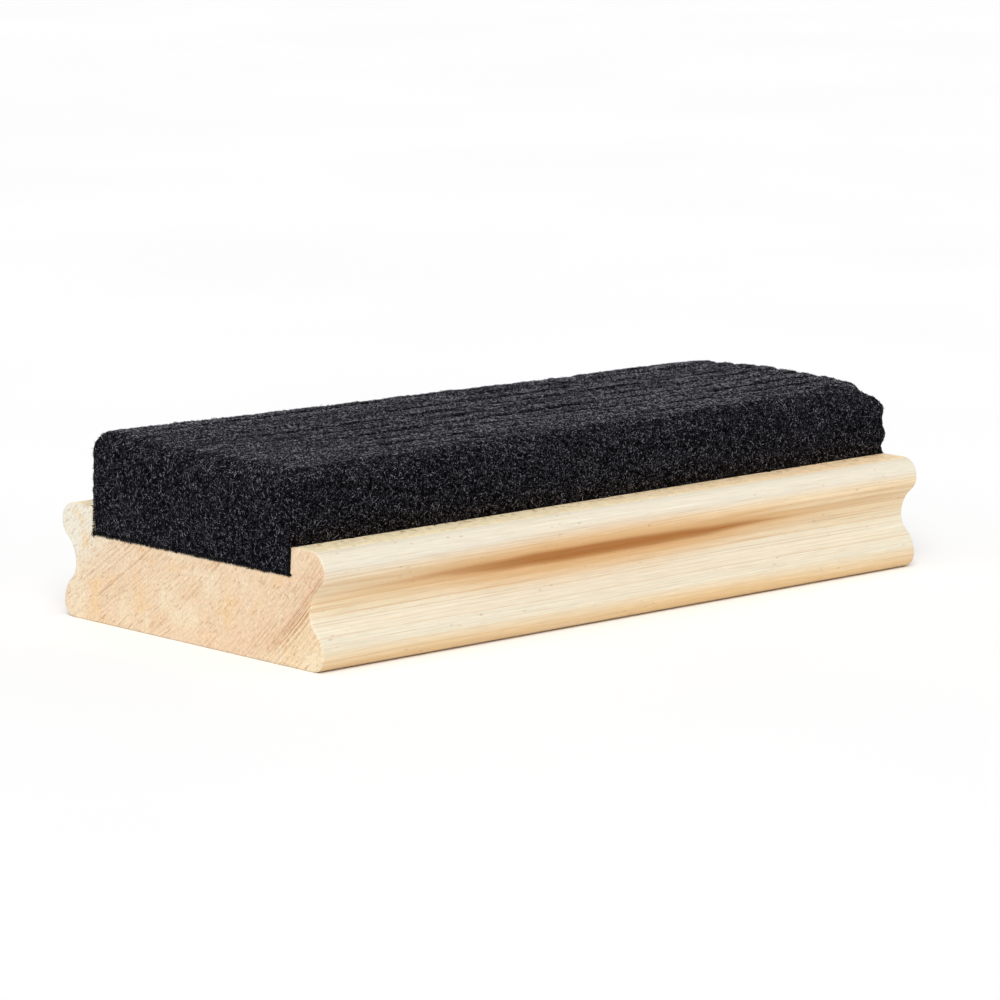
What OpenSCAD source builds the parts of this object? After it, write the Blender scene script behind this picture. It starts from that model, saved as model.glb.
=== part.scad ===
// Chalkboard eraser: a moulded pine handle with a felt pad, built from upright strips,
// that is glued into the handle's recess. It rests on its flat back with the felt on top.
// X runs along the eraser, Y across it and Z up. The origin is the centre of the back.

/* [Handle] */
// Length of the handle from end to end
handle_len = 130; // [100:1:160]
// Width of the handle across its two beads
handle_w = 64; // [58:1:76]
// Height of the handle from its flat back to the tops of its rails
handle_h = 18.5; // [17.5:0.5:22]

/* [Recess for the felt] */
// Width of the recess at its floor
recess_w = 48; // [44:0.5:50]
// Depth of the recess below the rail tops
recess_d = 4.5; // [3:0.5:6]
// Distance by which each recess wall leans outwards between floor and rail top
recess_lean = 0.3; // [0.1:0.1:0.5]

/* [Side moulding] */
// Radius of the bead that rounds each rail's outer edge
bead_r = 3; // [2:0.25:3.5]
// Depth of the finger groove, measured inwards from the bead
groove_d = 3.4; // [2.6:0.1:3.8]
// Height of the groove's deepest line above the back
groove_z = 8.8; // [8.4:0.1:9.6]
// Radius of the swelling below the groove
swell_r = 5; // [4.5:0.25:5.5]
// Distance by which that swelling stays inside the bead
swell_inset = 0.35; // [0.05:0.05:0.8]
// Radius of the edge between the swelling and the back
back_edge_r = 2.4; // [1.8:0.1:2.8]

/* [Felt pad] */
// Height of the pad's top above the flat back
pad_top = 30; // [27:0.5:34]
// Gap between neighbouring strips
strip_gap = 0.06; // [0.04:0.01:0.2]
// Radius of the long top edges along which two strips meet
seam_r = 0.9; // [0.4:0.1:1.2]
// Radius of the pad's own long top edges
shoulder_r = 2.8; // [1.4:0.1:3.2]
// Radius of the top edges at the pad's two ends
end_r = 2.5; // [1:0.25:4]
// Distance by which the pad spreads over each rail
pad_spread = 0.5; // [0.2:0.1:0.8]
// Thickness of the dried glue under the pad
glue_t = 0.3; // [0.2:0.05:0.5]

/* [Hidden] */
strip_count = 10;
$fn = 96;

pine = "#e9cfa4";
dried_glue = "#cfc3a0";
black_felt = "#1b1b1f";

// How far the pad stays back from the handle's ends, the recess walls and the rail tops
end_clear = 0.2;
wall_clear = 0.1;
rail_clear = 0.05;
// How far the glue stays back from the pad's edges
glue_margin = 1.5;
// Height over which the pad's lower and upper parts overlap
lap = 1;

recess_floor = handle_h - recess_d;
rail_top = handle_h + rail_clear;
pad_floor = recess_floor + glue_t;
pad_w = recess_w - 2 * wall_clear;
pad_len = handle_len - 2 * end_clear;
strip_pitch = pad_w / strip_count;

// Half widths and heights of the arc centres that make up the side moulding
bead_y = handle_w / 2 - bead_r;
bead_z = handle_h - bead_r;
neck_y = handle_w / 2 - groove_d;
swell_y = handle_w / 2 - swell_inset - swell_r;
swell_z = back_edge_r;
back_edge_y = handle_w / 2 - swell_inset - back_edge_r;
// Half width of the plain core that the moulding grows out of
core_y = min(neck_y, swell_y) - 1;

// Radius of a groove arc that is upright at neck_y and runs smoothly into a round of
// radius r whose centre is at half width y and a height rise away
function groove_arc(y, rise, r) =
    ((neck_y - y) ^ 2 + rise ^ 2 - r ^ 2) / (2 * (r - neck_y + y));

upper_groove_r = groove_arc(bead_y, bead_z - groove_z, bead_r);
lower_groove_r = groove_arc(swell_y, groove_z - swell_z, swell_r);

function strip_name(i) = str("felt_strip_", i < 10 ? "0" : "", i);

// Turns a section drawn as (Y, Z) into a bar along X, centred on the origin
module along_x(length) {
    rotate([90, 0, 90]) linear_extrude(length, center = true) children();
}

// Turns an outline drawn as (X, Z) into a bar along Y, centred on the origin
module along_y(length) {
    rotate([90, 0, 0]) linear_extrude(length, center = true) children();
}

module disc(y, z, r) {
    translate([y, z]) circle(r);
}

// Rectangle from the centre plane out to half width y, from height z0 to z1
module slab(y, z0, z1) {
    translate([0, z0]) square([y, z1 - z0]);
}

// Wood between the centre plane and a groove arc, from the groove's deepest line to the
// line that joins the arc's centre to (y, z), the centre of the round it runs into.
// The corners go anticlockwise whether that round is above the groove or below it.
module web_to(y, z, arc_r) {
    arc_y = neck_y + arc_r;
    difference() {
        polygon(z > groove_z
            ? [[0, groove_z], [arc_y, groove_z], [y, z], [0, z]]
            : [[0, z], [y, z], [arc_y, groove_z], [0, groove_z]]);
        disc(arc_y, groove_z, arc_r);
    }
}

// Right half of the handle's section: bead, groove, swelling and rounded back edge
module half_section() {
    slab(core_y, 0, handle_h);
    slab(bead_y, bead_z, handle_h);
    disc(bead_y, bead_z, bead_r);
    web_to(bead_y, bead_z, upper_groove_r);
    web_to(swell_y, swell_z, lower_groove_r);
    intersection() {
        disc(swell_y, swell_z, swell_r);
        slab(handle_w, swell_z, handle_h);
    }
    slab(back_edge_y, 0, swell_z);
    disc(back_edge_y, swell_z, back_edge_r);
}

// Opening for the pad, drawn upwards past the rail tops by its own depth
module recess_section() {
    half_floor = recess_w / 2;
    half_mouth = half_floor + 2 * recess_lean;
    polygon([
        [-half_floor, recess_floor],
        [half_floor, recess_floor],
        [half_mouth, handle_h + recess_d],
        [-half_mouth, handle_h + recess_d]
    ]);
}

// One piece of pine, moulded along both sides and sawn square at the ends
module handle() {
    color(pine) along_x(handle_len) difference() {
        union() {
            half_section();
            mirror([1, 0]) half_section();
        }
        recess_section();
    }
}

// Film of dried glue between the recess floor and the pad
module glue_bed() {
    size = [pad_len - 2 * glue_margin, pad_w - 2 * glue_margin, glue_t];
    color(dried_glue)
        translate([-size.x / 2, -size.y / 2, recess_floor])
            cube(size);
}

// Rectangle from [a0, z0] to [a1, z1] whose top corners have the radii r0 and r1
module round_topped(a0, a1, z0, z1, r0, r1) {
    corner = max(r0, r1);
    translate([a0, z0]) square([a1 - a0, z1 - corner - z0]);
    translate([a0, z0]) square([corner, z1 - r0 - z0]);
    translate([a1 - corner, z0]) square([corner, z1 - r1 - z0]);
    translate([a0 + r0, z0]) square([a1 - a0 - r0 - r1, z1 - z0]);
    disc(a0 + r0, z1 - r0, r0);
    disc(a1 - r1, z1 - r1, r1);
}

// Section of strip i, counted from the -Y side. The two outermost strips fill the recess
// to its walls and spread over the rails above it.
module strip_section(i) {
    first = i == 1;
    last = i == strip_count;
    y0 = (i - 1) * strip_pitch - pad_w / 2 + (first ? 0 : strip_gap / 2);
    y1 = i * strip_pitch - pad_w / 2 - (last ? 0 : strip_gap / 2);
    translate([y0, pad_floor]) square([y1 - y0, rail_top + lap - pad_floor]);
    round_topped(y0 - (first ? pad_spread : 0), y1 + (last ? pad_spread : 0),
                 rail_top, pad_top, first ? shoulder_r : seam_r, last ? shoulder_r : seam_r);
}

// Outline of the pad seen from its long side
module pad_outline() {
    round_topped(-pad_len / 2, pad_len / 2, pad_floor, pad_top, end_r, end_r);
}

// One strip of felt, standing on edge and as long as the pad
module felt_strip(i) {
    color(black_felt) intersection() {
        along_x(pad_len) strip_section(i);
        along_y(handle_w) pad_outline();
    }
}

handle();
glue_bed();
for (i = [1:strip_count]) felt_strip(i);
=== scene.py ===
"""A chalkboard eraser: a moulded pine handle and a felt pad of ten upright strips.

The eraser lies on its flat back. X runs along it, Y across it and Z up, in metres.
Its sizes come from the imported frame. The handle and the strips are built again as finer
meshes, and a nap of short fibres is planted on the felt.
"""

import itertools
import math

import bpy
import numpy as np
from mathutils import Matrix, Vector


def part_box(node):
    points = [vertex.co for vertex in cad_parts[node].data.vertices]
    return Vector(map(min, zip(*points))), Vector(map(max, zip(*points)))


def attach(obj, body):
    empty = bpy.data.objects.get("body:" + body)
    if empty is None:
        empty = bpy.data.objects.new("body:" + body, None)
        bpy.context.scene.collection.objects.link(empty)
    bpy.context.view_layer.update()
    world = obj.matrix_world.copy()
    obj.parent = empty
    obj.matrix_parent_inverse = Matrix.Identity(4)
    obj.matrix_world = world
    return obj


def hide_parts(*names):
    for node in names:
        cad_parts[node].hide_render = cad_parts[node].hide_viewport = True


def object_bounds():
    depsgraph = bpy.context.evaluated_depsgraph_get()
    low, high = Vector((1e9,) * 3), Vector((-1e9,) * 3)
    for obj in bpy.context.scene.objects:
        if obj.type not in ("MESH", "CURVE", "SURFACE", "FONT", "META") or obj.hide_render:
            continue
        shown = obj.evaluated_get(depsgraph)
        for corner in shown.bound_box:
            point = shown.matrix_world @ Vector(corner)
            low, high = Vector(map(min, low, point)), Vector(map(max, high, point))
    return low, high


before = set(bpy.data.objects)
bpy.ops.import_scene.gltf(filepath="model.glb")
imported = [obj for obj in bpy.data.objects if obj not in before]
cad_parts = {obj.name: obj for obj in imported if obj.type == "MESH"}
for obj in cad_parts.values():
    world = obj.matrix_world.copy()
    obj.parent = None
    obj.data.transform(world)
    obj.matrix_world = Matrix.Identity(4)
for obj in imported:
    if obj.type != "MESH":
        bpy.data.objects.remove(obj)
cad_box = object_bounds()

MM = 0.001
STRIPS = sorted(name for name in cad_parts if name.startswith("felt_strip_"))

# The handle's section, as in the CAD source
HANDLE_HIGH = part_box("handle")[1]
HALF_LENGTH = HANDLE_HIGH.x
HALF_WIDTH = HANDLE_HIGH.y
RAIL_Z = HANDLE_HIGH.z
RECESS_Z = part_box("glue_bed")[0].z
RECESS_HALF = 24 * MM
RECESS_LEAN = 0.3 * MM
BEAD_R = 3 * MM
NECK_Y = HALF_WIDTH - 3.4 * MM
GROOVE_Z = 8.8 * MM
SWELL_R = 5 * MM
SWELL_INSET = 0.35 * MM
BACK_EDGE_R = 2.4 * MM

# The growth rings are cylinders about the pith, which runs along X far outside the handle
PITH_Y = 128 * MM
PITH_Z = 161 * MM
RINGS_PER_MM = 1.42
# How far the rings wander along the grain and how uneven they are, in millimetres and in rings
WANDER = 2.6
RIPPLE = 0.22
UNEVEN_RINGS = 2.2
# Distances from the pith, in millimetres, between which the wood's colour changes
ZONE_START = 170.0
ZONE_END = 226.0

# The dark streak of painted shade under the bead on the -Y side, in millimetres: its middle, its
# darkest place and how far from that it fades, the heights it wavers between, how it tapers, and the
# half heights at which its core and the wider painted shade about it are full and gone
STREAK_MIDDLE = -8.0
STREAK_DARKEST = 4.0
STREAK_FADE = (18.0, 58.0)
STREAK_UP = (11.5, 12.1)
STREAK_TAPER = 0.00062
STREAK_CORE = (0.5, 1.75)
STREAK_WIDE_SHADE = (0.6, 5.8)


# ---------------------------------------------------------------- noise and meshes

# Large odd numbers that scatter whole numbers over 32 bits
CELL_FACTORS = np.array((73856093, 19349663, 83492791))
SEED_FACTOR = 2654435761
SHIFTS_AND_FACTORS = ((13, 1274126177), (16, 2246822519))
ALL_32_BITS = 0xFFFFFFFF


def random_at(cells, seed):
    """A fixed random number from -1 to 1 for each row of whole numbers."""
    mixed = (cells * CELL_FACTORS).sum(axis=1) + seed * SEED_FACTOR
    for shift, factor in SHIFTS_AND_FACTORS:
        mixed = (mixed ^ (mixed >> shift)) * factor & ALL_32_BITS
    return mixed / (ALL_32_BITS // 2) - 1


def smooth_noise(points, cell, seed):
    """Noise from -1 to 1 that changes over distances of about one cell. cell is a number or three,
    and each seed gives a pattern of its own."""
    scaled = points / np.array(cell)
    base = np.floor(scaled).astype(np.int64)
    share = scaled - base
    share = share * share * (3 - 2 * share)
    total = np.zeros(len(points))
    for corner in itertools.product((0, 1), repeat=3):
        weight = np.where(np.array(corner) == 1, share, 1 - share).prod(axis=1)
        total += weight * random_at(base + np.array(corner), seed)
    return total


def smooth_step(value, start, end):
    """0 before start, 1 after end, and an easy slope between them."""
    share = np.clip((value - start) / (end - start), 0, 1)
    return share * share * (3 - 2 * share)


def mesh_object(name, points, faces, material):
    """A smooth mesh from arrays of points and of faces, or a list of faces of several sizes."""
    mesh = bpy.data.meshes.new(name)
    mesh.from_pydata(points.tolist(), [], faces if isinstance(faces, list) else faces.tolist())
    mesh.polygons.foreach_set("use_smooth", [True] * len(mesh.polygons))
    mesh.materials.append(material)
    made = bpy.data.objects.new(name, mesh)
    bpy.context.scene.collection.objects.link(made)
    return made


def vertex_normals(mesh):
    """The surface's direction at each point of a mesh."""
    normals = np.empty(len(mesh.vertices) * 3, np.float32)
    mesh.vertex_normals.foreach_get("vector", normals)
    return normals.reshape(-1, 3).astype(float)


def keep_values(mesh, name, values):
    """Keeps a number for each point of a mesh, which its material finds by that name."""
    mesh.attributes.new(name, "FLOAT", "POINT").data.foreach_set("value", values.astype(np.float32))


def grid_quads(index, flip=False):
    """Quads between neighbours in a two-way table of point numbers."""
    quads = np.stack([index[:-1, :-1], index[1:, :-1], index[1:, 1:], index[:-1, 1:]], axis=-1)
    quads = quads.reshape(-1, 4)
    return quads[:, ::-1] if flip else quads


# ---------------------------------------------------------------- materials


class Looks:
    """A material and short ways to add nodes to it. An input is a socket or a plain value."""

    def __init__(self, name):
        self.material = bpy.data.materials.new(name)
        self.material.use_nodes = True
        self.tree = self.material.node_tree
        self.shader = self.tree.nodes["Principled BSDF"]

    def fill(self, socket, value):
        """Links a socket to another one, or sets its plain value."""
        if isinstance(value, bpy.types.NodeSocket):
            self.tree.links.new(value, socket)
        else:
            socket.default_value = value

    def surface(self, **inputs):
        """Sets the shader's inputs, named with _ for a space."""
        for name, value in inputs.items():
            self.fill(self.shader.inputs[name.replace("_", " ").title().replace("Ior", "IOR")], value)

    def add(self, kind, inputs, output=0, **settings):
        """Adds a node, fills its inputs by name or number, and returns one of its outputs."""
        node = self.tree.nodes.new("ShaderNode" + kind)
        for name, value in settings.items():
            setattr(node, name, value)
        for name, value in inputs.items():
            self.fill(node.inputs[name], value)
        return node.outputs[output]

    def maths(self, operation, a, b=0.0):
        """The result of an operation on one or two values."""
        return self.add("Math", {0: a, 1: b}, operation=operation)

    def times(self, first, *others):
        """The product of several values."""
        for other in others:
            first = self.maths("MULTIPLY", first, other)
        return first

    def vector(self, operation, a, b):
        """The result of an operation on two vectors."""
        return self.add("VectorMath", {0: a, 1: b}, operation=operation)

    def place(self):
        """The place on the object in millimetres."""
        point = self.add("TexCoord", {}, output="Object")
        return self.add("VectorMath", {0: point, "Scale": 1 / MM}, operation="SCALE")

    def noise(self, place, stretch, detail=2.0, roughness=0.5):
        """Noise from 0 to 1 whose features are about 1 over stretch millimetres in size."""
        return self.add(
            "TexNoise",
            {
                "Vector": self.vector("MULTIPLY", place, stretch),
                "Scale": 1.0,
                "Detail": detail,
                "Roughness": roughness,
            },
        )

    def remap(self, value, low, high, to_low=0.0, to_high=1.0):
        """Turns low..high into to_low..to_high, smoothly and without going past either."""
        return self.add(
            "MapRange",
            {"Value": value, "From Min": low, "From Max": high, "To Min": to_low, "To Max": to_high},
            interpolation_type="SMOOTHSTEP",
        )

    def ramp(self, value, stops):
        """A colour for each value from 0 to 1. stops are places and colours or grey values."""
        output = self.add("ValToRGB", {"Fac": value})
        band = output.node.color_ramp
        while len(band.elements) < len(stops):
            band.elements.new(1.0)
        for element, (place, colour) in zip(band.elements, stops):
            element.position = place
            element.color = (*(colour if isinstance(colour, tuple) else (colour,) * 3), 1.0)
        return output

    def mix(self, share, a, b, blend="MIX"):
        """Mixes two colours."""
        a, b = ((*c, 1.0) if isinstance(c, tuple) else c for c in (a, b))
        return self.add(
            "Mix", {0: share, 6: a, 7: b}, output=2, data_type="RGBA", blend_type=blend
        )

    def bump(self, height, distance, strength, under=None):
        """The surface's direction with relief of the given height added to it, or to another bump."""
        inputs = {"Height": height, "Distance": distance, "Strength": strength}
        if under is not None:
            inputs["Normal"] = under
        return self.add("Bump", inputs)


def growth_radius(m, place):
    """Distance from the pith in millimetres. It wanders a little along the grain."""
    from_pith = m.vector("SUBTRACT", place, (0, PITH_Y / MM, PITH_Z / MM))
    across_grain = m.vector("MULTIPLY", from_pith, (0, 1, 1))
    radius = m.add("VectorMath", {0: across_grain}, output="Value", operation="LENGTH")
    wander = m.times(m.noise(place, (0.008, 0.02, 0.02), 1.0), WANDER)
    ripple = m.times(m.noise(place, (0.02, 0.25, 0.25)), RIPPLE)
    centred = m.maths("SUBTRACT", radius, (WANDER + RIPPLE) / 2)
    return m.maths("ADD", centred, m.maths("ADD", wander, ripple))


def growth_lines(m, radius):
    """1 in the thin dark latewood that ends a ring, 0 in its pale earlywood."""
    uneven = m.add("TexNoise", {"W": radius, "Scale": 0.35, "Detail": 1.0}, noise_dimensions="1D")
    ring = m.maths("ADD", m.times(radius, RINGS_PER_MM), m.times(uneven, UNEVEN_RINGS))
    latewood = m.ramp(
        m.maths("FRACT", ring),
        [(0.0, 0.2), (0.06, 0.0), (0.5, 0.08), (0.74, 0.25), (0.86, 1.0), (0.96, 1.0), (1.0, 0.2)],
    )
    strength = m.add("TexWhiteNoise", {"W": m.maths("FLOOR", ring)}, noise_dimensions="1D")
    lines = m.times(latewood, m.remap(strength, 0.0, 0.8, 0.25, 1.0))
    fine = m.add("TexNoise", {"W": radius, "Scale": 3.6, "Detail": 2.0}, noise_dimensions="1D")
    return m.maths("MAXIMUM", lines, m.remap(fine, 0.54, 0.68, 0.0, 0.65))


def planed_wood(m, place, zone, lines):
    """The planed sides and back. Their lines are faint, and strongest under the -Y bead."""
    # Painted shade: the orange at 0.845 falls in the -Y groove, and that at 1.0 along the -Y side's
    # lower edge
    wood = m.ramp(
        zone,
        [
            (0.0, (0.86, 0.72, 0.535)),
            (0.19, (0.86, 0.715, 0.52)),
            (0.28, (0.84, 0.685, 0.48)),
            (0.54, (0.77, 0.71, 0.55)),
            (0.65, (0.76, 0.62, 0.44)),
            (0.75, (0.74, 0.68, 0.54)),
            (0.825, (0.74, 0.68, 0.56)),
            (0.845, (0.86, 0.67, 0.42)),
            (0.865, (0.83, 0.70, 0.49)),
            (0.89, (0.78, 0.73, 0.59)),
            (0.965, (0.73, 0.67, 0.53)),
            (1.0, (0.76, 0.53, 0.27)),
        ],
    )
    contrast = m.ramp(
        zone,
        [
            (0.0, 0.45),
            (0.5, 0.5),
            (0.62, 0.75),
            (0.72, 0.2),
            (0.81, 0.14),
            (0.832, 0.5),
            (0.87, 0.6),
            (0.9, 0.5),
        ],
    )
    broken = m.remap(m.noise(place, (0.05, 0.6, 0.6)), 0.3, 0.7, 0.35, 1.0)
    wood = m.mix(m.times(lines, contrast, broken), wood, (0.60, 0.33, 0.13))
    threads = m.noise(place, (0.035, 5.5, 5.5), 3.0, 0.75)
    wood = m.mix(m.remap(threads, 0.54, 0.72, 0.0, 0.5), wood, (0.60, 0.38, 0.18))
    return m.mix(m.remap(threads, 0.3, 0.46, 0.35, 0.0), wood, (0.88, 0.82, 0.68))


def painted_groove_shade(m, place, along, across, up):
    """Shares of painted shade under the -Y bead: a dark band that runs out to points, and a wider,
    paler shade about it.
    """
    from_middle = m.maths("SUBTRACT", along, STREAK_MIDDLE)
    run_out = m.times(from_middle, from_middle, STREAK_TAPER)
    wobble = m.remap(m.noise(place, (0.03, 0.0, 0.0)), 0.3, 0.7, *STREAK_UP)
    wobble.node.clamp = False
    distance = m.maths("ADD", m.maths("ABSOLUTE", m.maths("SUBTRACT", up, wobble)), run_out)
    from_darkest = m.maths("ABSOLUTE", m.maths("SUBTRACT", along, STREAK_DARKEST))
    core = m.remap(distance, *STREAK_CORE, 1.0, 0.0)
    core = m.times(core, m.remap(from_darkest, *STREAK_FADE, 1.0, 0.25))
    stain_and_shade = m.remap(m.maths("ADD", distance, run_out), *STREAK_WIDE_SHADE, 0.95, 0.0)
    stain_and_shade = m.times(stain_and_shade, m.remap(from_darkest, *STREAK_FADE, 1.0, 0.65))
    threads = m.remap(m.noise(place, (0.03, 3.5, 4.0), 3.0, 0.7), 0.35, 0.6, 0.84, 1.0)
    outside = m.times(m.remap(across, -28.4, -27.2, 1.0, 0.0), threads)
    return m.times(core, outside), m.times(stain_and_shade, outside)


def end_wood(m, place, zone, lines):
    """The sawn ends: deeper and more orange, with a few redder rings and a dense band of them."""
    wood = m.ramp(
        zone,
        [
            (0.0, (0.82, 0.79, 0.67)),
            (0.17, (0.82, 0.77, 0.64)),
            (0.24, (0.83, 0.66, 0.47)),
            (0.34, (0.83, 0.64, 0.44)),
            (0.49, (0.83, 0.65, 0.45)),
            (0.515, (0.81, 0.58, 0.37)),
            (0.54, (0.83, 0.64, 0.44)),
            (0.70, (0.83, 0.63, 0.43)),
            (0.80, (0.82, 0.60, 0.40)),
            (0.83, (0.81, 0.57, 0.37)),
            (0.86, (0.86, 0.655, 0.42)),
            (1.0, (0.88, 0.71, 0.475)),
        ],
    )
    contrast = m.ramp(
        zone,
        [
            (0.18, 0.08),
            (0.27, 0.4),
            (0.36, 0.4),
            (0.41, 0.12),
            (0.50, 0.4),
            (0.54, 0.35),
            (0.58, 0.12),
            (0.75, 0.18),
            (0.80, 0.9),
            (0.86, 1.0),
            (0.88, 0.55),
            (1.0, 0.5),
        ],
    )
    patches = m.remap(m.noise(place, (0.1, 0.22, 0.22)), 0.35, 0.62, 0.45, 1.2)
    wood = m.mix(m.times(lines, contrast, patches), wood, (0.40, 0.17, 0.07))
    stain_and_shade = m.noise(place, (0.1, 0.2, 0.2), 3.0, 0.5)
    wood = m.mix(m.remap(stain_and_shade, 0.52, 0.7, 0.0, 0.65), wood, (0.85, 0.58, 0.31))
    return m.mix(m.remap(stain_and_shade, 0.34, 0.47, 0.45, 0.0), wood, (0.86, 0.76, 0.55))


def sawn(m, place, radius, wood):
    """Adds what the saw left on the ends: scratches, mostly along the rings, and torn grain."""
    along_ring = m.add(
        "VectorMath", {0: place, 1: (0.0, 0.77, -0.64)}, output="Value", operation="DOT_PRODUCT"
    )
    rows = m.add("CombineXYZ", {0: m.times(radius, 2.6), 1: m.times(along_ring, 0.4), 2: 0.0})
    scratch = m.add("TexNoise", {"Vector": rows, "Scale": 1.0, "Detail": 3.0, "Roughness": 0.6})
    wood = m.mix(m.remap(scratch, 0.55, 0.70, 0.0, 0.75), wood, (0.58, 0.32, 0.17))
    wood = m.mix(m.remap(scratch, 0.28, 0.44, 0.6, 0.0), wood, (0.92, 0.81, 0.64))
    crumbs = m.remap(m.noise(place, (0.6, 1.9, 1.9), 4.0, 0.75), 0.3, 0.7, 0.85, 1.08)
    return m.mix(1.0, wood, crumbs, "MULTIPLY")


def rail_top_shade_and_dirt(m, place, along, across, up):
    """The rails' tops are browner, a painted shade, and dirty where the felt rubs them: their share
    and colour.
    """
    from_centre = m.maths("ABSOLUTE", across)
    share = m.times(m.remap(up, 17.6, 18.3), m.remap(from_centre, 30.1, 29.3), 0.95)
    # Painted shade on the up-facing tops, browner towards +X
    colour = m.mix(m.remap(along, -30.0, 45.0), (1.0, 0.84, 0.555), (0.98, 0.735, 0.455))
    grit = m.remap(m.noise(place, (0.9, 0.9, 0.9), 3.0, 0.7), 0.35, 0.6, 0.84, 1.03)
    colour = m.mix(1.0, colour, grit, "MULTIPLY")
    specks = m.remap(m.noise(place, (0.9, 0.55, 0.55), 3.0, 0.7), 0.53, 0.62, 0.0, 0.8)
    specks = m.times(specks, m.remap(from_centre, 27.6, 25.2))
    return share, m.mix(specks, colour, (0.42, 0.22, 0.08))


def resin_canals(m, place, end_face):
    """Dots on the end grain and short dark dashes on the sides."""
    cells = m.vector("MULTIPLY", place, (0.45, 1.1, 1.1))
    canal = m.add("TexVoronoi", {"Vector": cells, "Scale": 1.0}, feature="F1")
    some = m.remap(m.noise(place, (0.1, 0.35, 0.35)), 0.5, 0.66, 0.0, 0.6)
    return m.times(m.remap(canal, 0.1, 0.26, 1.0, 0.0), some, m.remap(end_face, 0.0, 1.0, 0.6, 1.0))


def arris_highlights(m, place, along, end_face):
    """Painted highlight: places on the edges round the ends made paler."""
    end = HALF_LENGTH / MM
    close = m.remap(m.maths("ABSOLUTE", along), end - 0.25, end - 0.05)
    places = m.remap(m.noise(place, (0.5, 0.5, 0.5), 3.0, 0.7), 0.45, 0.6, 0.0, 0.5)
    return m.times(close, m.maths("SUBTRACT", 1.0, end_face), places)


def pine_material():
    """Planed pine. Its rings are solid, so the sides' lines run on into the end grain."""
    m = Looks("pine")
    place = m.place()
    along, across, up = m.add("SeparateXYZ", {0: place}).node.outputs
    radius = growth_radius(m, place)
    zone = m.remap(radius, ZONE_START, ZONE_END)
    zone.node.interpolation_type = "LINEAR"
    lines = growth_lines(m, radius)

    sides = planed_wood(m, place, zone, lines)
    # Painted shade under the -Y bead: a dark streak with a wider orange shade about it
    streak, stain_and_shade = painted_groove_shade(m, place, along, across, up)
    sides = m.mix(stain_and_shade, sides, (0.72, 0.405, 0.15))
    sides = m.mix(streak, sides, (0.40, 0.138, 0.010))
    fibre = m.remap(m.noise(place, (0.2, 4.5, 4.5), 4.0, 0.7), 0.3, 0.7, 0.93, 1.05)
    sides = m.mix(1.0, sides, fibre, "MULTIPLY")
    # Painted shade on the rails' up-facing tops, and dirt specks beside the felt
    rail, rail_colour = rail_top_shade_and_dirt(m, place, along, across, up)
    sides = m.mix(rail, sides, rail_colour)

    facing = m.add("SeparateXYZ", {0: m.add("TexCoord", {}, output="Normal")})
    end_face = m.remap(m.maths("ABSOLUTE", facing), 0.25, 0.75)
    ends = sawn(m, place, radius, end_wood(m, place, zone, lines))
    wood = m.mix(end_face, sides, ends)
    canals = resin_canals(m, place, end_face)
    wood = m.mix(canals, wood, (0.36, 0.19, 0.09))
    # Painted highlight on the edges round the ends
    wood = m.mix(arris_highlights(m, place, along, end_face), wood, (0.90, 0.83, 0.68))

    normal = m.bump(m.noise(place, (0.1, 5.0, 5.0), 3.0, 0.6), 0.025 * MM, 0.6)
    normal = m.bump(lines, 0.02 * MM, 0.5, normal)
    normal = m.bump(canals, -0.05 * MM, 0.6, normal)
    m.surface(
        base_color=wood,
        roughness=m.remap(end_face, 0.0, 1.0, 0.48, 0.75),
        specular_ior_level=0.35,
        normal=normal,
    )
    return m.material


def short_fibres(m, bent, stretch):
    """Short fibres drawn out along one direction, each of its own brightness."""
    drawn_out = m.vector("MULTIPLY", bent, stretch)
    cells = m.add("TexVoronoi", {"Vector": drawn_out, "Scale": 1.0}, feature="F1")
    own = m.add("SeparateXYZ", {0: cells.node.outputs["Color"]})
    return m.times(m.remap(cells, 0.12, 0.5, 1.0, 0.0), m.remap(own, 0.25, 1.0))


def matted_fibres(m, place):
    """A mat of short fibres that lie along X, Y and Z: its brightness, and how dense it is."""
    push = m.add("TexNoise", {"Vector": place, "Scale": 1.6, "Detail": 2.0}, output="Color")
    bent = m.vector("ADD", place, m.vector("MULTIPLY", push, (0.7, 0.7, 0.7)))
    mat = short_fibres(m, bent, (1.7, 4.6, 4.6))
    for stretch in ((4.6, 1.7, 4.6), (4.6, 4.6, 1.7)):
        mat = m.maths("MAXIMUM", mat, short_fibres(m, bent, stretch))
    clump = m.remap(m.noise(place, (0.7, 1.3, 1.3), 3.0, 0.6), 0.25, 0.75, 0.45, 1.0)
    return m.times(mat, clump), clump


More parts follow.
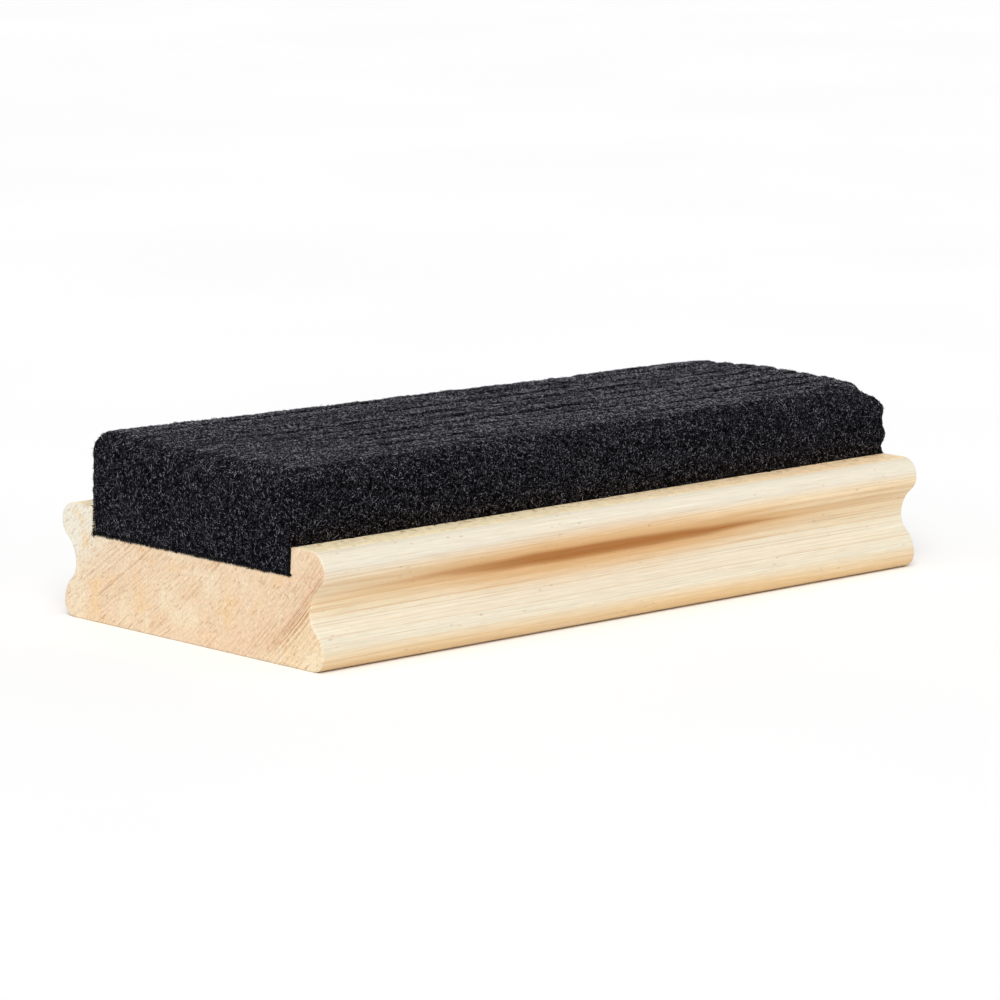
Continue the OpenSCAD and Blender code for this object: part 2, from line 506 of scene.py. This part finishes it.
def felt_material():
    """Matted felt under the nap: grey and black fibres a fraction of a millimetre apart."""
    m = Looks("felt")
    place = m.place()
    _, across, up = m.add("SeparateXYZ", {0: place}).node.outputs
    mat, clump = matted_fibres(m, place)
    colour = m.ramp(
        mat,
        [
            (0.0, (0.0008, 0.0008, 0.0011)),
            (0.2, (0.0085, 0.0083, 0.011)),
            (0.45, (0.056, 0.054, 0.066)),
            (0.7, (0.17, 0.165, 0.19)),
            (1.0, (0.32, 0.31, 0.355)),
        ],
    )
    # The pad's two long sides are browner and darker low down
    on_side = m.remap(m.maths("ABSOLUTE", across), 23.6, 24.2)
    browner_low_down = m.times(m.remap(up, 18.5, 22.5, 1.0, 0.0), on_side)
    colour = m.mix(browner_low_down, colour, (0.95, 0.78, 0.54), "MULTIPLY")

    # Painted shade: the top, seen through its nap, is darker, and the seams between the strips darker
    # still
    facing_up = m.add("SeparateXYZ", {0: m.add("TexCoord", {}, output="Normal")}, output=2)
    top_and_seam_shade = m.remap(facing_up, 0.5, 0.95, 1.0, 0.45)
    seam = m.add("Attribute", {}, output="Fac", attribute_name="seam")
    top_and_seam_shade = m.times(top_and_seam_shade, m.remap(seam, 0.0, 1.0, 1.0, 0.15))
    colour = m.mix(1.0, colour, top_and_seam_shade, "MULTIPLY")
    normal = m.bump(mat, 0.10 * MM, 0.8)
    normal = m.bump(clump, 0.3 * MM, 0.5, normal)
    m.surface(
        base_color=colour,
        roughness=0.95,
        specular_ior_level=0.015,
        sheen_weight=0.06,
        sheen_roughness=0.35,
        sheen_tint=(0.55, 0.55, 0.64, 1.0),
        normal=normal,
    )
    return m.material


def nap_material():
    """Loose fibres: mostly black, some grey, and a few pale ones."""
    m = Looks("nap")
    tone = m.add("Attribute", {}, output="Fac", attribute_name="tone")
    colour = m.ramp(
        tone,
        [
            (0.0, (0.0010, 0.0010, 0.0013)),
            (0.4, (0.010, 0.010, 0.0125)),
            (0.7, (0.058, 0.057, 0.067)),
            (0.85, (0.16, 0.16, 0.18)),
            (1.0, (0.46, 0.46, 0.50)),
        ],
    )
    m.surface(base_color=colour, roughness=0.7, specular_ior_level=0.035)
    return m.material


def glue_material():
    """Dried wood glue, yellowish and a little blotchy."""
    m = Looks("glue")
    place = m.place()
    blotch = m.noise(place, (0.25, 0.25, 0.25), 3.0)
    colour = m.ramp(blotch, [(0.3, (0.40, 0.33, 0.17)), (0.7, (0.66, 0.59, 0.40))])
    m.surface(
        base_color=colour,
        roughness=m.remap(blotch, 0.3, 0.7, 0.35, 0.6),
        normal=m.bump(blotch, 0.1 * MM, 0.6),
    )
    return m.material


def floor_material():
    """White paper, hardly uneven."""
    m = Looks("floor")
    faint = m.remap(m.noise(m.place(), (0.01, 0.01, 0.01)), 0.3, 0.7, 0.965, 0.98)
    m.surface(base_color=m.mix(1.0, (0.99, 0.99, 0.99), faint, "MULTIPLY"), roughness=0.8)
    return m.material


# ---------------------------------------------------------------- handle

OUTLINE_STEP = 0.5 * MM
FLAT_STEP = 2.5 * MM
ARRIS_R = 0.18 * MM
ALONG_STEP = 0.42 * MM
CHIP_DEPTH = 0.45 * MM
CHIP_LENGTH = 1.1 * MM
CHIP_REACH = 0.55 * MM
CHIP_SIDEWAYS = 0.6


def arc(y, z, radius, start, end):
    """Points of an arc about (y, z) from one angle to another, in degrees."""
    count = max(3, math.ceil(abs(math.radians(end - start)) * radius / OUTLINE_STEP))
    angles = np.radians(np.linspace(start, end, count + 1))
    return [(y + radius * math.cos(a), z + radius * math.sin(a)) for a in angles]


def line(start, end, step):
    """Points of a straight line, without its two ends."""
    count = max(1, round(math.dist(start, end) / step))
    return [tuple(np.add(start, np.subtract(end, start) * i / count)) for i in range(1, count)]


def groove_arc(y, rise, radius):
    """Radius of a groove arc, upright at NECK_Y, that runs into a round rise away."""
    return ((NECK_Y - y) ** 2 + rise**2 - radius**2) / (2 * (radius - NECK_Y + y))


def half_outline():
    """The handle's outline on the +Y side, from the middle of the back to that of the recess."""
    bead = (HALF_WIDTH - BEAD_R, RAIL_Z - BEAD_R)
    swell = (HALF_WIDTH - SWELL_INSET - SWELL_R, BACK_EDGE_R)
    back_edge_y = HALF_WIDTH - SWELL_INSET - BACK_EDGE_R
    upper_r = groove_arc(bead[0], bead[1] - GROOVE_Z, BEAD_R)
    lower_r = groove_arc(swell[0], GROOVE_Z - swell[1], SWELL_R)
    lower_turn = math.degrees(math.atan2(GROOVE_Z - swell[1], NECK_Y + lower_r - swell[0]))
    upper_turn = math.degrees(math.atan2(bead[1] - GROOVE_Z, NECK_Y + upper_r - bead[0]))
    wall_foot = (RECESS_HALF, RECESS_Z)
    wall_top = (RECESS_HALF + RECESS_LEAN, RAIL_Z)
    arris = (wall_top[0] + ARRIS_R, wall_top[1] - ARRIS_R)
    points = [(0.0, 0.0)]
    points += line((0, 0), (back_edge_y, 0), FLAT_STEP)
    points += arc(back_edge_y, BACK_EDGE_R, BACK_EDGE_R, -90, 0)
    points += arc(*swell, SWELL_R, 0, lower_turn)[1:]
    points += arc(NECK_Y + lower_r, GROOVE_Z, lower_r, 180 + lower_turn, 180)[1:]
    points += arc(NECK_Y + upper_r, GROOVE_Z, upper_r, 180, 180 - upper_turn)[1:]
    points += arc(*bead, BEAD_R, -upper_turn, 90)[1:]
    points += line((bead[0], RAIL_Z), (arris[0], RAIL_Z), OUTLINE_STEP)
    points += arc(*arris, ARRIS_R, 90, 180)
    points += line((wall_top[0], arris[1]), wall_foot, OUTLINE_STEP)
    points += [wall_foot]
    points += line(wall_foot, (0, RECESS_Z), FLAT_STEP)
    return points + [(0.0, RECESS_Z)]


def outward(outline):
    """The outward direction at each point of a closed outline that runs anticlockwise."""
    along = np.roll(outline, -1, axis=0) - np.roll(outline, 1, axis=0)
    normal = np.stack([along[:, 1], -along[:, 0]], axis=1)
    return normal / np.linalg.norm(normal, axis=1)[:, None]


def stations():
    """Places along X, and how far the outline draws in at each to ease the ends' edges."""
    turns = np.radians((0, 30, 60, 90))
    ease = [(ARRIS_R * (1 - math.cos(turn)), ARRIS_R * (1 - math.sin(turn))) for turn in turns]
    inner = HALF_LENGTH - ARRIS_R
    count = round(2 * inner / ALONG_STEP)
    middle = [(x, 0.0) for x in np.linspace(-inner, inner, count + 1)[1:-1]]
    near = [(-HALF_LENGTH + x, inset) for x, inset in ease]
    far = [(HALF_LENGTH - x, inset) for x, inset in reversed(ease)]
    return near + middle + far


def chipped(points):
    """Lowers the arrises beside the felt here and there, where the cutter tore out some grain."""
    edge = np.abs(np.abs(points[:, 1]) - RECESS_HALF - RECESS_LEAN - ARRIS_R / 2)
    close = smooth_step(edge, CHIP_REACH, 0.1 * MM) * (points[:, 2] > RAIL_Z - 0.6 * MM)
    side = np.where(points[:, 1] > 0, 11, 12)
    line_place = np.stack([points[:, 0], np.zeros(len(points)), side * 1.0], axis=1)
    torn = smooth_noise(line_place, (CHIP_LENGTH, 1, 0.37), 5)
    torn = torn + 0.6 * smooth_noise(line_place, (4 * MM, 1, 0.37), 6)
    depth = np.clip(torn - 0.55, 0, 1) * CHIP_DEPTH
    points[:, 2] -= close * depth
    points[:, 1] += np.sign(points[:, 1]) * close * depth * CHIP_SIDEWAYS
    return points


def build_handle(material):
    """The handle: its outline drawn at every station along X, and its two flat sawn ends."""
    right = half_outline()
    left = [(-y, z) for y, z in reversed(right[1:-1])]
    outline = np.array(right + left)
    normals = outward(outline)
    rows = stations()
    points = np.concatenate(
        [
            np.column_stack([np.full(len(outline), x), outline - normals * inset])
            for x, inset in rows
        ]
    )
    index = np.arange(len(points)).reshape(len(rows), len(outline))
    index = np.concatenate([index, index[:, :1]], axis=1)
    faces = grid_quads(index).tolist()
    faces.append(index[0, :-1][::-1].tolist())
    faces.append(index[-1, :-1].tolist())
    handle = mesh_object("pine_handle", chipped(points), faces, material)
    for end in handle.data.polygons[-2:]:
        end.use_smooth = False
    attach(handle, "root")
    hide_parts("handle")


# ---------------------------------------------------------------- felt

FELT_STEP = 0.36 * MM
HIDDEN_STEP = 0.5 * MM

# Radii of upright edges at the pad's -X and +X ends: its own four corners, then each strip's
CORNER_R = {-1: 0.35 * MM, 1: 1.0 * MM}
STRIP_END_R = {-1: 0.0, 1: 0.6 * MM}

# How far down from its top a strip between two others is cut finely
SHOWN_DEPTH = 2.5 * MM

# How far the pad laps each rail, half the height of the step there, the gap between the recess
# wall and the side below the step, and the thickness of felt that is drawn in with that side
SPREAD = 0.5 * MM
HALF_STEP = 0.05 * MM
WALL_GAP = 0.08 * MM
LAP_REACH = 1.5 * MM

# How far each strip's long edges drop at the far end, over what length and between what heights
SCALLOP = 0.45 * MM
SCALLOP_REACH = 9 * MM
SCALLOP_Z = (22 * MM, 29 * MM)

# Places along X, and the radius of the pad's long top edge on its -Y and +Y sides at each
SHOULDER_AT = (-60 * MM, -28 * MM, 32 * MM, 62 * MM)
SHOULDER_R = {
    -1: (3.0 * MM, 3.4 * MM, 3.8 * MM, 5.6 * MM),
    1: (0.7 * MM, 3.2 * MM, 7.0 * MM, 6.5 * MM),
}

# Places along X, and the radius of the edges between two strips at each, then half the width
# and the depth of the seam between them
SEAM_AT = (-63 * MM, -35 * MM)
SEAM_R = (0.05 * MM, 0.34 * MM)
SEAM_HALF = 0.65 * MM
SEAM_DEPTH = 0.22 * MM

# Strip numbers, and the radius of the top edge at the -X and +X ends of such a strip
TOP_END_AT = (0, 2, 6, 9)
TOP_END_R = {
    -1: (3.2 * MM, 3.2 * MM, 3.2 * MM, 3.6 * MM),
    1: (4.6 * MM, 0.9 * MM, 0.6 * MM, 1.6 * MM),
}

# Places along X, and by how many millimetres the top stands proud towards the +Y side at each,
# then the same for the top's middle near the far end
PROUD_AT = (-46 * MM, -34 * MM, 10 * MM, 36 * MM, 58 * MM)
PROUD = (0.28, 0.1, 0.1, -0.08, -0.22)
FAR_PROUD = 0.28

# By how many millimetres worn hollows, lumps, tufts and ridges stand out or in
HOLLOWS = 0.12
LUMPS = 0.10
TUFTS = 0.11
RIDGES = 0.08

# Height of the topmost wave on the pad's far end, and the waves' distance
WAVE_Z = 26.4 * MM
WAVE_LENGTH = 4.7 * MM

# The standing fibres: how many more of them there are on top, what share is missing at the seams,
# and the shape and the scale in millimetres of the gamma distribution of their lengths
NAP_SEED = 100
NAP_PER_MM2 = 7.5
MORE_ON_TOP = 1.2
FEWER_AT_SEAMS = 0.8
FIBRE_LENGTHS = (5.0, 0.085)
FIBRE_RADIUS = 0.025 * MM
POINTS_PER_FIBRE = 7

# The same for the fibres that stray over the wood, then how far they lie off it, how far inside
# the felt they start, and how much they turn to either side
FRINGE_PER_MM = 14.0
FRINGE_LENGTHS = (4.0, 0.045)
FRINGE_RADIUS = 0.055 * MM
FRINGE_PROUD = 0.03 * MM
FRINGE_ROOT = 0.45 * MM
FRINGE_TURN = 0.4


def box_grid(xs, ys, zs):
    """The surface of a box cut by planes across X, Y and Z: its points and outward quads."""
    sizes = (len(xs), len(ys), len(zs))
    inner = np.zeros(sizes, bool)
    inner[1:-1, 1:-1, 1:-1] = True
    index = np.full(sizes, -1)
    index[~inner] = np.arange((~inner).sum())
    x, y, z = np.meshgrid(xs, ys, zs, indexing="ij")
    points = np.stack([x[~inner], y[~inner], z[~inner]], axis=1)
    quads = [
        grid_quads(index[0], flip=True),
        grid_quads(index[-1]),
        grid_quads(index[:, 0]),
        grid_quads(index[:, -1], flip=True),
        grid_quads(index[:, :, 0], flip=True),
        grid_quads(index[:, :, -1]),
    ]
    return points, np.concatenate(quads)


def rounded(points, a, a_side, a_edge, b, b_side, b_edge, radius):
    """Rounds one edge of a box. The edge is where axis a reaches a_edge and axis b reaches b_edge,
    and the sides say in which direction each axis leaves the box there."""
    u = (points[:, a] - a_edge) * a_side + radius
    v = (points[:, b] - b_edge) * b_side + radius
    corner = (u > 0) & (v > 0)
    big, small = np.maximum(u, v), np.minimum(u, v)
    angle = np.where(corner, small / np.maximum(big, 1e-9), 0) * math.pi / 4
    far, near = big * np.cos(angle), big * np.sin(angle)
    new_u = np.where(corner, np.where(u >= v, far, near), u)
    new_v = np.where(corner, np.where(u >= v, near, far), v)
    points[:, a] = a_edge + a_side * (new_u - radius)
    points[:, b] = b_edge + b_side * (new_v - radius)


def spaced(start, end, step):
    """Places from start to end that are about a step apart."""
    return np.linspace(start, end, max(2, round((end - start) / step) + 1))


def strip_heights(low, high, outer):
    """Heights at which a strip's box is cut: close together only where the felt shows."""
    fine_from = RAIL_Z if outer else high - SHOWN_DEPTH
    coarse = spaced(low, fine_from - HALF_STEP, HIDDEN_STEP)
    return np.concatenate([coarse, spaced(fine_from + HALF_STEP, high, FELT_STEP)])


def draw_in(points, y_side, y_edge):
    """Draws a strip's outer side in below the rail top, so that it follows the recess wall."""
    below = (points[:, 2] < RAIL_Z) & ((points[:, 1] - y_edge) * y_side > -LAP_REACH)
    lean = RECESS_LEAN * (points[below, 2] - RECESS_Z) / (RAIL_Z - RECESS_Z)
    points[below, 1] -= y_side * (SPREAD - WALL_GAP - lean)


def scallop(points, low, high):
    """Lowers a strip's long edges near its far top end, so that the pad ends in a row of arches."""
    off_middle = np.abs(points[:, 1] * 2 - low.y - high.y) / (high.y - low.y)
    near_end = smooth_step(points[:, 0], high.x - SCALLOP_REACH, high.x)
    at_far_top = near_end * smooth_step(points[:, 2], *SCALLOP_Z)
    points[:, 2] -= SCALLOP * off_middle**3 * at_far_top


def strip_shape(number, low, high):
    """A strip's rounded box. The first and last strips have big outer corners and lap the rails."""
    first, last = number == 0, number == len(STRIPS) - 1
    zs = strip_heights(low.z, high.z, first or last)
    points, quads = box_grid(spaced(low.x, high.x, FELT_STEP), spaced(low.y, high.y, FELT_STEP), zs)
    place_x = points[:, 0].copy()
    ends = ((-1, low.x), (1, high.x))
    for y_side, y_edge, outer in ((-1, low.y, first), (1, high.y, last)):
        for x_side, x_edge in ends:
            radius = (CORNER_R if outer else STRIP_END_R)[x_side]
            rounded(points, 0, x_side, x_edge, 1, y_side, y_edge, radius)
        if outer:
            radius = np.interp(place_x, SHOULDER_AT, SHOULDER_R[y_side])
        else:
            radius = np.interp(place_x, SEAM_AT, SEAM_R)
        rounded(points, 1, y_side, y_edge, 2, 1, high.z, radius)
        if outer:
            draw_in(points, y_side, y_edge)
    for x_side, x_edge in ends:
        radius = np.interp(number, TOP_END_AT, TOP_END_R[x_side])
        rounded(points, 0, x_side, x_edge, 2, 1, high.z, radius)
    scallop(points, low, high)
    return points, quads


def joined_sides(number):
    """Where across the pad a strip's sides touch the next strip."""
    low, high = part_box(STRIPS[number])
    sides = ((low.y, number > 0), (high.y, number < len(STRIPS) - 1))
    return [y for y, joined in sides if joined]


def between_strips(middles, number):
    """True for a strip's flat side faces that touch the next strip. Shading breaks at their edges."""
    touching = [np.abs(middles[:, 1] - y) < 0.01 * MM for y in joined_sides(number)]
    return np.any(touching, axis=0)


def seam_closeness(points, number):
    """1 at a strip's joined top edges and 0 away from them. It comes and goes along the seams."""
    away = np.min([np.abs(points[:, 1] - y) for y in joined_sides(number)], axis=0)
    comes_and_goes = smooth_noise(points, (15 * MM, 3.1 * MM, 60 * MM), 61)
    past_near_end = smooth_step(points[:, 0], -63 * MM, -50 * MM)
    strength = smooth_step(comes_and_goes, -0.6, 0.15) * past_near_end
    return smooth_step(away, SEAM_HALF, 0.1 * MM) * strength


def exposure(points, normals, number):
    """1 where a strip's surface shows, and 0 where its neighbours or the recess hide it."""
    sideways = np.abs(normals[:, 1]) > 0.8
    outer = (number == 0) & (normals[:, 1] < 0) | (number == len(STRIPS) - 1) & (normals[:, 1] > 0)
    over_rail = points[:, 2] > RAIL_Z + 0.1 * MM
    hidden = sideways & ~(outer & over_rail) | (normals[:, 2] < -0.5)
    return np.where(hidden, 0.0, 1.0)


def end_waves(points, normals, number):
    """By how many millimetres the pad's far end stands out: in waves, and by strip."""
    far_end = smooth_step(normals[:, 0], 0.3, 0.9)
    wave = np.cos((points[:, 2] - WAVE_Z) * 2 * math.pi / WAVE_LENGTH)
    wavy = smooth_noise(points, (60 * MM, 7 * MM, 3.4 * MM), 52)
    own = random_at(np.array([[number, 3, 7]]), 9)[0]
    return far_end * (0.35 + 0.35 * wave * math.exp(-number / 3) + 0.25 * wavy + 0.2 * own)


def proud_top(points):
    """By how many millimetres the pad's top stands above or below its flat CAD face."""
    beyond = smooth_step(points[:, 1], 0, 20 * MM)
    between = smooth_step(points[:, 1], -22 * MM, -12 * MM) * (1 - beyond)
    proud = np.interp(points[:, 0], PROUD_AT, PROUD) * beyond
    return proud + FAR_PROUD * smooth_step(points[:, 0], 40 * MM, 58 * MM) * between


def uneven_felt(points, normals, number):
    """How far the felt's surface stands out or in: worn hollows, lumps, small tufts and seams."""
    apart = smooth_step(points[:, 0], -60 * MM, -20 * MM)
    broad = smooth_noise(points, (14 * MM, 6 * MM, 5 * MM), 21 + number) * apart
    broad += smooth_noise(points, (14 * MM, 9 * MM, 7 * MM), 20) * (1 - apart)
    lumps = smooth_noise(points, (2.2 * MM, 1.4 * MM, 1.6 * MM), 40)
    tufts = smooth_noise(points, 0.62 * MM, 41)
    ridges = smooth_noise(points, (9 * MM, 1.0 * MM, 4 * MM), 42) * np.abs(normals[:, 2])
    worn = HOLLOWS * broad + LUMPS * lumps + TUFTS * tufts + RIDGES * ridges
    worn = worn + end_waves(points, normals, number)
    facing_up = np.clip(normals[:, 2], 0, 1)
    worn = MM * (worn + proud_top(points) * facing_up)
    sunk = SEAM_DEPTH * seam_closeness(points, number) * facing_up
    return exposure(points, normals, number) * (worn - sunk)


def build_strip(number, material):
    """One strip of felt with its uneven surface. Returns its points and quads."""
    name = STRIPS[number]
    low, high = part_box(name)
    points, quads = strip_shape(number, low, high)
    strip = mesh_object(name.replace("felt_strip", "felt"), points, quads, material)
    normals = vertex_normals(strip.data)
    seam = seam_closeness(points, number) * np.clip(normals[:, 2], 0, 1)
    keep_values(strip.data, "seam", seam)
    push = uneven_felt(points, normals, number)[:, None]
    normals[between_strips(points, number), 1] = 0
    points = points + normals * push
    flat = between_strips(points[quads].mean(axis=1), number)
    strip.data.polygons.foreach_set("use_smooth", ~flat)
    strip.data.vertices.foreach_set("co", points.astype(np.float32).ravel())
    strip.data.update()
    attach(strip, "root")
    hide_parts(name)
    return points, quads


# ---------------------------------------------------------------- nap


def plant(points, quads, number, rng):
    """Random places on the shown part of a strip, with the surface's direction at each."""
    corners = points[quads]
    cross = np.cross(corners[:, 2] - corners[:, 0], corners[:, 3] - corners[:, 1])
    area = np.linalg.norm(cross, axis=1) / 2
    normals = cross / np.maximum(area * 2, 1e-18)[:, None]
    middles = corners.mean(axis=1)
    on_top = np.clip(normals[:, 2], 0, 1)
    area = area * exposure(middles, normals, number) * (1 + MORE_ON_TOP * on_top)
    area = area * (1 - FEWER_AT_SEAMS * on_top * seam_closeness(middles, number))
    count = round(area.sum() / MM**2 * NAP_PER_MM2)
    chosen = rng.choice(len(quads), count, p=area / area.sum())
    u, v = rng.random((2, count, 1))
    picked = corners[chosen]
    places = (picked[:, 0] * (1 - u) + picked[:, 1] * u) * (1 - v)
    places = places + (picked[:, 3] * (1 - u) + picked[:, 2] * u) * v
    return places, normals[chosen]


def unit(vectors):
    """The same directions, each 1 long."""
    return vectors / np.linalg.norm(vectors, axis=1)[:, None]


def fibre_mesh(roots, normals, forward, length, lift, radius, rng):
    """A thin tapering fibre at each root, which runs forward, arches off the felt and curls."""
    count = len(roots)
    side = np.cross(forward, normals)
    curl = rng.uniform(-0.6, 0.6, (count, 1))
    rings = []
    for share, width in ((0.0, 1.0), (0.55, 0.9)):
        arch = normals * lift * (share - 0.75 * share**2)
        centre = roots + length * (forward * share + arch + side * curl * share**2)
        for turn in (90, 210, 330):
            a = math.radians(turn)
            rings.append(centre + radius * width * (side * math.cos(a) + normals * math.sin(a)))
    tip = roots + length * (forward + normals * lift * 0.25 + side * curl)
    points = np.stack([*rings, tip], axis=1)
    faces = [(0, 2, 1)]
    for corner in range(3):
        following = (corner + 1) % 3
        faces += [(corner, following, following + 3), (corner, following + 3, corner + 3)]
        faces += [(corner + 3, following + 3, 6)]
    first = np.arange(count)[:, None, None] * POINTS_PER_FIBRE
    return points.reshape(-1, 3), (first + np.array(faces)).reshape(-1, 3)


def fringe_rows(number):
    """The lines that stray fibres start from: two ends, the wood's direction and the fibres'."""
    low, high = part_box(STRIPS[number])
    rows = []
    for x_side in (-1, 1):
        x = x_side * (HALF_LENGTH + FRINGE_PROUD)
        foot = RECESS_Z + FRINGE_ROOT
        rows.append(((x, low.y, foot), (x, high.y, foot), (x_side, 0, 0), (0, 0, -1)))
    for y_side, outer in ((-1, number == 0), (1, number == len(STRIPS) - 1)):
        if outer:
            y = y_side * (RECESS_HALF + SPREAD - FRINGE_ROOT)
            top = RAIL_Z + FRINGE_PROUD
            rows.append(((low.x, y, top), (high.x, y, top), (0, 0, 1), (0, y_side, 0)))
            for x_side in (-1, 1):
                x = x_side * (HALF_LENGTH + FRINGE_PROUD)
                y = y_side * (RECESS_HALF - FRINGE_ROOT)
                rows.append(((x, y, RECESS_Z), (x, y, RAIL_Z), (x_side, 0, 0), (0, y_side, 0)))
    return rows


def fringe(number, rng):
    """Fibres that stray over the wood: their roots, the wood's direction and theirs."""
    roots, normals, forward = [], [], []
    for start, end, normal, direction in fringe_rows(number):
        way = np.subtract(end, start)
        count = round(np.linalg.norm(way) / MM * FRINGE_PER_MM)
        roots.append(start + way * rng.random((count, 1)))
        normals.append(np.tile(np.array(normal, float), (count, 1)))
        turn = rng.normal(0, FRINGE_TURN, (count, 1)) * way / np.linalg.norm(way)
        forward.append(unit(direction + turn))
    return np.concatenate(roots), np.concatenate(normals), np.concatenate(forward)


def fibre_tones(roots, normals, rng):
    """How pale each standing fibre is, from 0 to 1. Painted sheen makes most of them paler on top."""
    on_top = np.clip(normals[:, 2], 0, 1)
    tuft = 0.15 * smooth_noise(roots, 0.25 * MM, 78)
    tuft = tuft + 0.12 * smooth_noise(roots, (9 * MM, 0.9 * MM, 9 * MM), 79)
    on_end = np.abs(normals[:, 0]) * (1 - on_top)
    far = smooth_step(roots[:, 0], 0, HALF_LENGTH)
    # Painted sheen and light: paler on top and on the ends. The long sides are darker towards the far
    # end
    darker = 1 - (0.5 + 0.07 * far) * on_top - 0.3 * on_end + 0.28 * far * np.abs(normals[:, 1])
    return np.clip(rng.random(len(roots)) ** darker + on_top * tuft, 0, 1)


def standing_fibres(number, points, quads, rng):
    """The fibres that stand on a strip, with their tones, and which of them are on its sides."""
    roots, normals = plant(points, quads, number, rng)
    count = len(roots)
    on_top = np.clip(normals[:, 2:], 0, 1)
    side = unit(np.cross(normals, rng.normal(size=(count, 3))))
    length = rng.gamma(*FIBRE_LENGTHS, (count, 1)) * (1 - 0.35 * on_top) * MM
    lift = rng.uniform(0.1, 1.0, (count, 1)) ** (1.8 - normals[:, 2:])
    radius = FIBRE_RADIUS * (1 + 0.4 * on_top)
    forward = np.cross(side, normals)
    fibres, faces = fibre_mesh(roots, normals, forward, length, lift, radius, rng)
    return fibres, faces, fibre_tones(roots, normals, rng), np.abs(normals[:, 1]) > 0.5


def stray_fibres(number, rng):
    """The fibres that stray over the wood beside a strip, in clumps, with their tones."""
    roots, normals, forward = fringe(number, rng)
    count = len(roots)
    clumps = 0.5 + 0.5 * smooth_noise(roots, 1.1 * MM, 77)[:, None]
    length = FRINGE_ROOT + rng.gamma(*FRINGE_LENGTHS, (count, 1)) * (1.3 * clumps) * MM
    lift = rng.uniform(0.0, 0.4, (count, 1))
    fibres, faces = fibre_mesh(roots, normals, forward, length, lift, FRINGE_RADIUS, rng)
    return fibres, faces, rng.random(count) * 0.55


def nap_piece(name, bundles, material):
    """One mesh of several bundles of fibres. A bundle is its points, its faces and its tones."""
    places, faces, tones, first = [], [], [], 0
    for points, triangles, tone in bundles:
        used, renumbered = np.unique(triangles, return_inverse=True)
        places.append(points[used])
        faces.append(renumbered.reshape(triangles.shape) + first)
        tones.append(np.repeat(tone, POINTS_PER_FIBRE)[used])
        first += len(used)
    nap = mesh_object(name, np.concatenate(places), np.concatenate(faces), material)
    keep_values(nap.data, "tone", np.concatenate(tones))
    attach(nap, "root")


def build_nap(number, points, quads, material):
    """One strip's loose fibres. Those on the pad's long sides make a piece of their own."""
    rng = np.random.default_rng(NAP_SEED + number)
    fibres, faces, tones, on_side = standing_fibres(number, points, quads, rng)
    stray = stray_fibres(number, rng)
    on_side = on_side & (number in (0, len(STRIPS) - 1))
    faces = faces.reshape(len(tones), -1, 3)
    name = STRIPS[number].replace("felt_strip", "nap")
    nap_piece(name, [(fibres, faces[~on_side].reshape(-1, 3), tones), stray], material)
    if on_side.any():
        nap_piece("side_" + name, [(fibres, faces[on_side].reshape(-1, 3), tones)], material)


# ---------------------------------------------------------------- studio

CAMERA_PLACE = Vector((-547.7, -598.1, 156.2)) * MM
LENS = 182
FLOOR_HALF = 6.0


def build_camera():
    """Looks at the eraser's middle from the photograph's viewing angle."""
    data = bpy.data.cameras.new("camera")
    data.lens = LENS
    data.clip_start, data.clip_end = 0.05, 50
    camera = bpy.data.objects.new("camera", data)
    bpy.context.scene.collection.objects.link(camera)
    camera.location = CAMERA_PLACE
    middle = (cad_box[0] + cad_box[1]) / 2
    camera.rotation_euler = (middle - CAMERA_PLACE).to_track_quat("-Z", "Y").to_euler()
    bpy.context.scene.camera = camera


def build_sun(name, place, strength, angle):
    """Soft parallel light from one direction, so that the floor is lit alike everywhere."""
    data = bpy.data.lights.new(name, "SUN")
    data.energy = strength
    data.angle = math.radians(angle)
    sun = bpy.data.objects.new(name, data)
    bpy.context.scene.collection.objects.link(sun)
    sun.location = place
    sun.rotation_euler = (-Vector(place)).to_track_quat("-Z", "Y").to_euler()


def studio_world():
    """Brightest near the horizon and dimmer overhead."""
    world = bpy.data.worlds.new("studio")
    world.use_nodes = True
    tree = world.node_tree
    split = tree.nodes.new("ShaderNodeSeparateXYZ")
    fade = tree.nodes.new("ShaderNodeMapRange")
    for socket, value in (("From Min", 0.1), ("From Max", 0.6), ("To Min", 0.55), ("To Max", 0.40)):
        fade.inputs[socket].default_value = value
    direction = tree.nodes.new("ShaderNodeTexCoord").outputs["Generated"]
    tree.links.new(direction, split.inputs[0])
    tree.links.new(split.outputs["Z"], fade.inputs["Value"])
    tree.links.new(fade.outputs[0], tree.nodes["Background"].inputs["Strength"])
    tree.nodes["Background"].inputs["Color"].default_value = (1, 1, 1, 1)
    return world


def build_studio():
    """A pale floor, two soft lights and a white surround."""
    corners = np.array([(-1, -1, 0), (1, -1, 0), (1, 1, 0), (-1, 1, 0)]) * FLOOR_HALF
    floor = mesh_object("floor", corners, [(0, 1, 2, 3)], floor_material())
    build_sun("key", (-0.50, -0.55, 0.67), 2.0, 35)
    build_sun("top", (-0.1, -0.15, 1.0), 0.7, 60)
    bpy.context.scene.world = studio_world()
    bpy.context.scene.view_settings.view_transform = "Standard"


# ---------------------------------------------------------------- the eraser

build_studio()
build_camera()
build_handle(pine_material())
felt, nap = felt_material(), nap_material()
for number in range(len(STRIPS)):
    strip_points, strip_quads = build_strip(number, felt)
    build_nap(number, strip_points, strip_quads, nap)
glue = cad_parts["glue_bed"]
glue.data.materials.clear()
glue.data.materials.append(glue_material())
